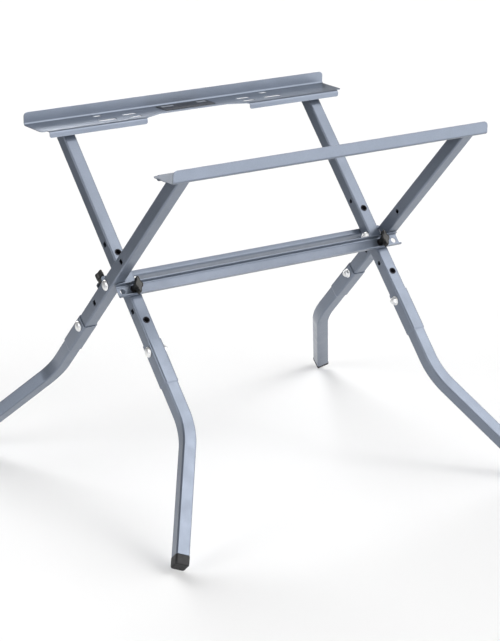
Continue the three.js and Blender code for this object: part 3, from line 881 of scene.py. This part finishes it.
def levelling_block():
    """Square block, slightly drafted, with soft lower edges, on its screw."""
    # Distance below the block's top and how far each side is drawn in, in mm.
    upper = ((0, 0.7), (0.6, 0.1), (1.4, 0), (14, 0))
    lower = ((17, 0.25), (18.2, 0.9), (18.8, 1.9), (19, 3.2))
    rings = []
    for down, inset in upper + lower:
        outline = square(BLOCK - 2 * inset * MM, TUBE_CORNER + 0.6 * MM)
        rings.append(at_height(outline, -GAP - down * MM))
    screw = stud(-BLOCK_HEIGHT / 2, PLUG_DEPTH - 2 * MM)
    return joined(loft(rings), screw)


# ---------- cross channel ----------
def channel_end_cutter(end, side):
    """What is cut off the flanges' corners at one end."""
    corner, margin = 3.5 * MM, 3 * MM
    out = end + side * margin
    edge = -CHANNEL_BACK - CHANNEL_DEPTH
    slope = [
        (out, edge - margin, 0),
        (end - side * corner, edge - margin, 0),
        (end - side * corner, edge, corner * 0.4),
        (end, edge + corner, corner * 0.4),
        (out, edge + corner, 0),
    ]
    low, high = -CHANNEL_BOTTOM - CUT_PAST, -CHANNEL_TOP + CUT_PAST
    return prism(rounded(slope), low, high)


def channel_mesh(name):
    """One bent channel, its flanges toward -Y, with a hole for each stud and two spare holes."""
    left, right = (corner.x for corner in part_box(f"cross_channel_{name}"))
    inside, outside = CHANNEL_BEND_INSIDE, CHANNEL_BEND_INSIDE + CHANNEL_SHEET
    back, web, edge = -CHANNEL_BACK, -CHANNEL_BACK - CHANNEL_SHEET, -CHANNEL_BACK - CHANNEL_DEPTH
    top, bottom = -CHANNEL_TOP, -CHANNEL_BOTTOM
    profile = [
        (back, top, outside),
        (back, bottom, outside),
        (edge, bottom, 0),
        (edge, bottom + CHANNEL_SHEET, 0),
        (web, bottom + CHANNEL_SHEET, inside),
        (web, top - CHANNEL_SHEET, inside),
        (edge, top - CHANNEL_SHEET, 0),
        (edge, top, 0),
    ]
    outline = rounded(profile)
    mesh = loft([[Vector((x, y, z)) for y, z in outline] for x in (left, right)])
    mesh = cut(mesh, channel_end_cutter(left, -1), channel_end_cutter(right, 1))
    for x in (-LEG_X[name], LEG_X[name], *SPARE_HOLES[name]):
        place = Matrix.Translation((x, 0, -STUD_AT)) @ TO_MINUS_Y
        mesh = cut(mesh, moved(rod(CHANNEL_HOLE_R, 0, 2 * TUBE), place))
    return mesh


# ---------- putting the stand together ----------
def make_leg(frame_name, label, side):
    """One leg with all that is fixed to it, and its clamp knob."""
    body = f"{frame_name}_frame"
    full = f"{frame_name}_{label}"
    leg_side = side if frame_name == "inner" else -side
    place = frame_axes(frame_name) @ Matrix.Translation((leg_side * LEG_X[frame_name], 0, 0))

    def add(name, mesh, look, edge, node, local):
        piece(name, mesh, body, look, [node], edge, place @ local)

    here = Matrix.Identity(4)
    upper = upper_leg(leg_side)
    add(f"upper_leg_tube_{full}", upper, PAINT, TUBE_EDGE, f"upper_leg_{full}", here)
    piece(f"weld_bead_{full}", weld_bead(), body, PAINT, place=place)

    can_level = full == "inner_left"
    reach = FOOT_REACH - (BLOCK_HEIGHT + GAP if can_level else PLUG_FLANGE)
    lower = lower_leg(leg_side, reach)
    add(f"lower_leg_tube_{full}", lower, PAINT, TUBE_EDGE, f"lower_leg_{full}", here)
    end = tube_end(leg_side, reach)
    if can_level:
        insert, block = foot_insert(), levelling_block()
        node = f"levelling_foot_{full}"
        add("foot_insert_body", insert, FOOT_PLASTIC, PLUG_EDGE, f"foot_insert_{full}", end)
        piece("levelling_block", block, "levelling_foot", FOOT_PLASTIC, [node], 0, place @ end)
    else:
        add(f"foot_plug_cap_{full}", foot_plug(), FOOT_PLASTIC, 0, f"foot_plug_{full}", end)

    half = SOCKET / 2 + GAP
    bolt = carriage_bolt(2 * half + NUT_HEIGHT + BOLT_PAST_NUT)
    for name, mesh, way in (("bolt", bolt, leg_side), ("nut", flange_nut(), -leg_side)):
        turn = Matrix.Rotation(way * math.pi / 2, 4, "Y")
        local = Matrix.Translation((way * half, 0, -SOCKET_BOLT)) @ turn
        add(f"sleeve_{name}_zinc_{full}", mesh, ZINC, 0, f"sleeve_{name}_{full}", local)

    for number, down in enumerate(INSERT_HOLES, 1):
        local = Matrix.Translation((0, -TUBE / 2 - GAP, -down)) @ TO_MINUS_Y
        add(f"insert_{full}_{number}", rivet_nut(), DARK, 0, f"rivet_nut_{full}_{number}", local)
    make_knob(full, place)


def make_knob(full, place):
    """A clamp knob with its stud and its washer, over the channel."""
    washer_at = CHANNEL_BACK + CHANNEL_SHEET + GAP
    knob_at = washer_at + WASHER + GAP

    def local(distance):
        return place @ Matrix.Translation((0, -distance, -STUD_AT)) @ TO_MINUS_Y

    ring = ring_mesh(HOLE_R, WASHER_R, WASHER, WASHER_EDGE)
    screw = stud(-knob_at - STUD_PAST_AXIS, STUD_IN_KNOB)
    sliding, turning = f"washer_{full}", f"knob_{full}"
    # The washer takes the dark steel partly as painted shade: the knob's shadow falls on it.
    piece(f"washer_{full}", ring, sliding, DARK, [f"knob_washer_{full}"], 0, local(washer_at))
    at_knob = local(knob_at)
    piece(f"knob_stud_zinc_{full}", screw, turning, ZINC, [f"knob_stud_{full}"], 0, at_knob)
    piece(f"knob_grip_{full}", knob(), turning, KNOB_PLASTIC, [f"knob_{full}"], 0, at_knob)
    # The face panel is painted paler: a painted highlight on the knob's lit face.
    piece(f"knob_lit_face_{full}", knob_lit_face(), turning, KNOB_LIT_FACE, place=at_knob)


def make_pivots():
    """Each pivot bolt lies square to the outer leg, whose punched hole holds its neck."""
    head_at = LEG_X["outer"] + TUBE / 2 + GAP
    nut_at = LEG_X["inner"] - TUBE / 2 - GAP
    between = (LEG_X["inner"] + TUBE / 2 + GAP, LEG_X["outer"] - TUBE / 2 - GAP)
    for label, side in SIDES.items():
        tilt = Matrix.Translation(PIVOT) @ Matrix.Rotation(LEAN, 4, "X")
        outward = Matrix.Rotation(side * math.pi / 2, 4, "Y")
        inward = Matrix.Rotation(-side * math.pi / 2, 4, "Y")
        bolt = carriage_bolt(head_at - nut_at + NUT_HEIGHT + BOLT_PAST_NUT)
        spacer = ring_mesh(HOLE_R, WASHER_R, between[1] - between[0], SPACER_EDGE)
        for name, mesh, at, turn in (
            ("bolt", bolt, head_at, outward),
            ("nut", flange_nut(), nut_at, inward),
            ("spacer", spacer, between[0], outward),
        ):
            place = tilt @ Matrix.Translation((side * at, 0, 0)) @ turn
            node = f"pivot_{name}_{label}"
            piece(f"pivot_{name}_zinc_{label}", mesh, "outer_frame", ZINC, [node], 0, place)


def make_channels():
    for name in ("inner", "outer"):
        node = f"cross_channel_{name}"
        body = f"{name}_frame"
        place = frame_axes(name)
        piece(f"{node}_sheet", channel_mesh(name), body, PAINT, [node], CHANNEL_EDGE, place)


def make_floor():
    """A plain pale floor. Only its middle shows in reflections, so the tubes' sides stay dark."""
    material = floor_material()
    thickness, whole, middle = 20 * MM, 60, 2.4
    for name, size, top in (("floor_far", whole, -0.1 * MM), ("floor", middle, 0)):
        outline = rectangle(size, size, 0.45 * size, steps=16)
        floor = as_object(name, prism(outline, top - thickness, top))
        floor.data.materials.append(material)
        floor.visible_glossy = name == "floor"


def sun(name, toward, strength, color=(1.0, 1.0, 1.0), spread=35):
    """A soft light far away. Toward points from the stand to it, and spread is in degrees."""
    data = bpy.data.lights.new(name, "SUN")
    data.energy = strength
    data.angle = math.radians(spread)
    data.color = color
    light = bpy.data.objects.new(name, data)
    light.rotation_mode = "QUATERNION"
    light.rotation_quaternion = Vector(toward).to_track_quat("Z", "Y")
    bpy.context.scene.collection.objects.link(light)


def make_world(toward, strength):
    """Soft light that grows from faint behind the stand to full strength toward one direction."""
    faint, full_at = 0.045, 0.9  # full_at is the cosine of the angle to that direction
    world = bpy.data.worlds.new("studio")
    world.use_nodes = True
    nodes, links = world.node_tree.nodes, world.node_tree.links
    dot = nodes.new("ShaderNodeVectorMath")
    dot.operation = "DOT_PRODUCT"
    dot.inputs[1].default_value = Vector(toward).normalized()
    links.new(nodes.new("ShaderNodeTexCoord").outputs["Generated"], dot.inputs[0])
    grow = nodes.new("ShaderNodeMapRange")
    grow.interpolation_type = "SMOOTHSTEP"
    grow.inputs["From Max"].default_value = full_at
    grow.inputs["To Min"].default_value = faint
    links.new(dot.outputs["Value"], grow.inputs["Value"])
    links.new(grow.outputs["Result"], nodes["Background"].inputs["Color"])
    nodes["Background"].inputs["Strength"].default_value = strength
    bpy.context.scene.world = world


def make_lights():
    make_world((0.55, -0.75, -0.1), 2.45)
    sun("key", (0.5, -0.5, 0.75), 0.44, (1.0, 0.99, 0.98), spread=22)
    sun("left", (-1, 0, 0.3), 1.2)
    sun("back", (0.2, 1, 0.5), 2.4)


def make_camera():
    """The photograph's view: a long lens from the front left, looking down. Angles in radians."""
    yaw, pitch, roll = 0.599, -0.3173, 0.007
    x, y, over_pivot = -2.2998, -3.3593, 1.214
    data = bpy.data.cameras.new("camera")
    data.sensor_width = 36  # in millimetres, as the lens is, and along the picture's longer side
    data.lens = 128.6846
    camera = bpy.data.objects.new("camera", data)
    camera.location = (x, y, PIVOT.z + over_pivot)
    forward = Vector(
        (math.sin(yaw) * math.cos(pitch), math.cos(yaw) * math.cos(pitch), math.sin(pitch))
    )
    right = Vector((math.cos(yaw), -math.sin(yaw), 0))
    up = right.cross(forward)
    axes = Matrix((right, up, -forward)).transposed()
    camera.rotation_mode = "QUATERNION"
    camera.rotation_quaternion = (axes @ Matrix.Rotation(roll, 3, "Z")).to_quaternion()
    bpy.context.scene.collection.objects.link(camera)
    bpy.context.scene.camera = camera


make_camera()
make_rails()
make_label()
for frame_name in ("inner", "outer"):
    for label, side in SIDES.items():
        make_leg(frame_name, label, side)
make_pivots()
make_channels()
make_floor()
make_lights()
bpy.context.scene.view_settings.view_transform = "Standard"
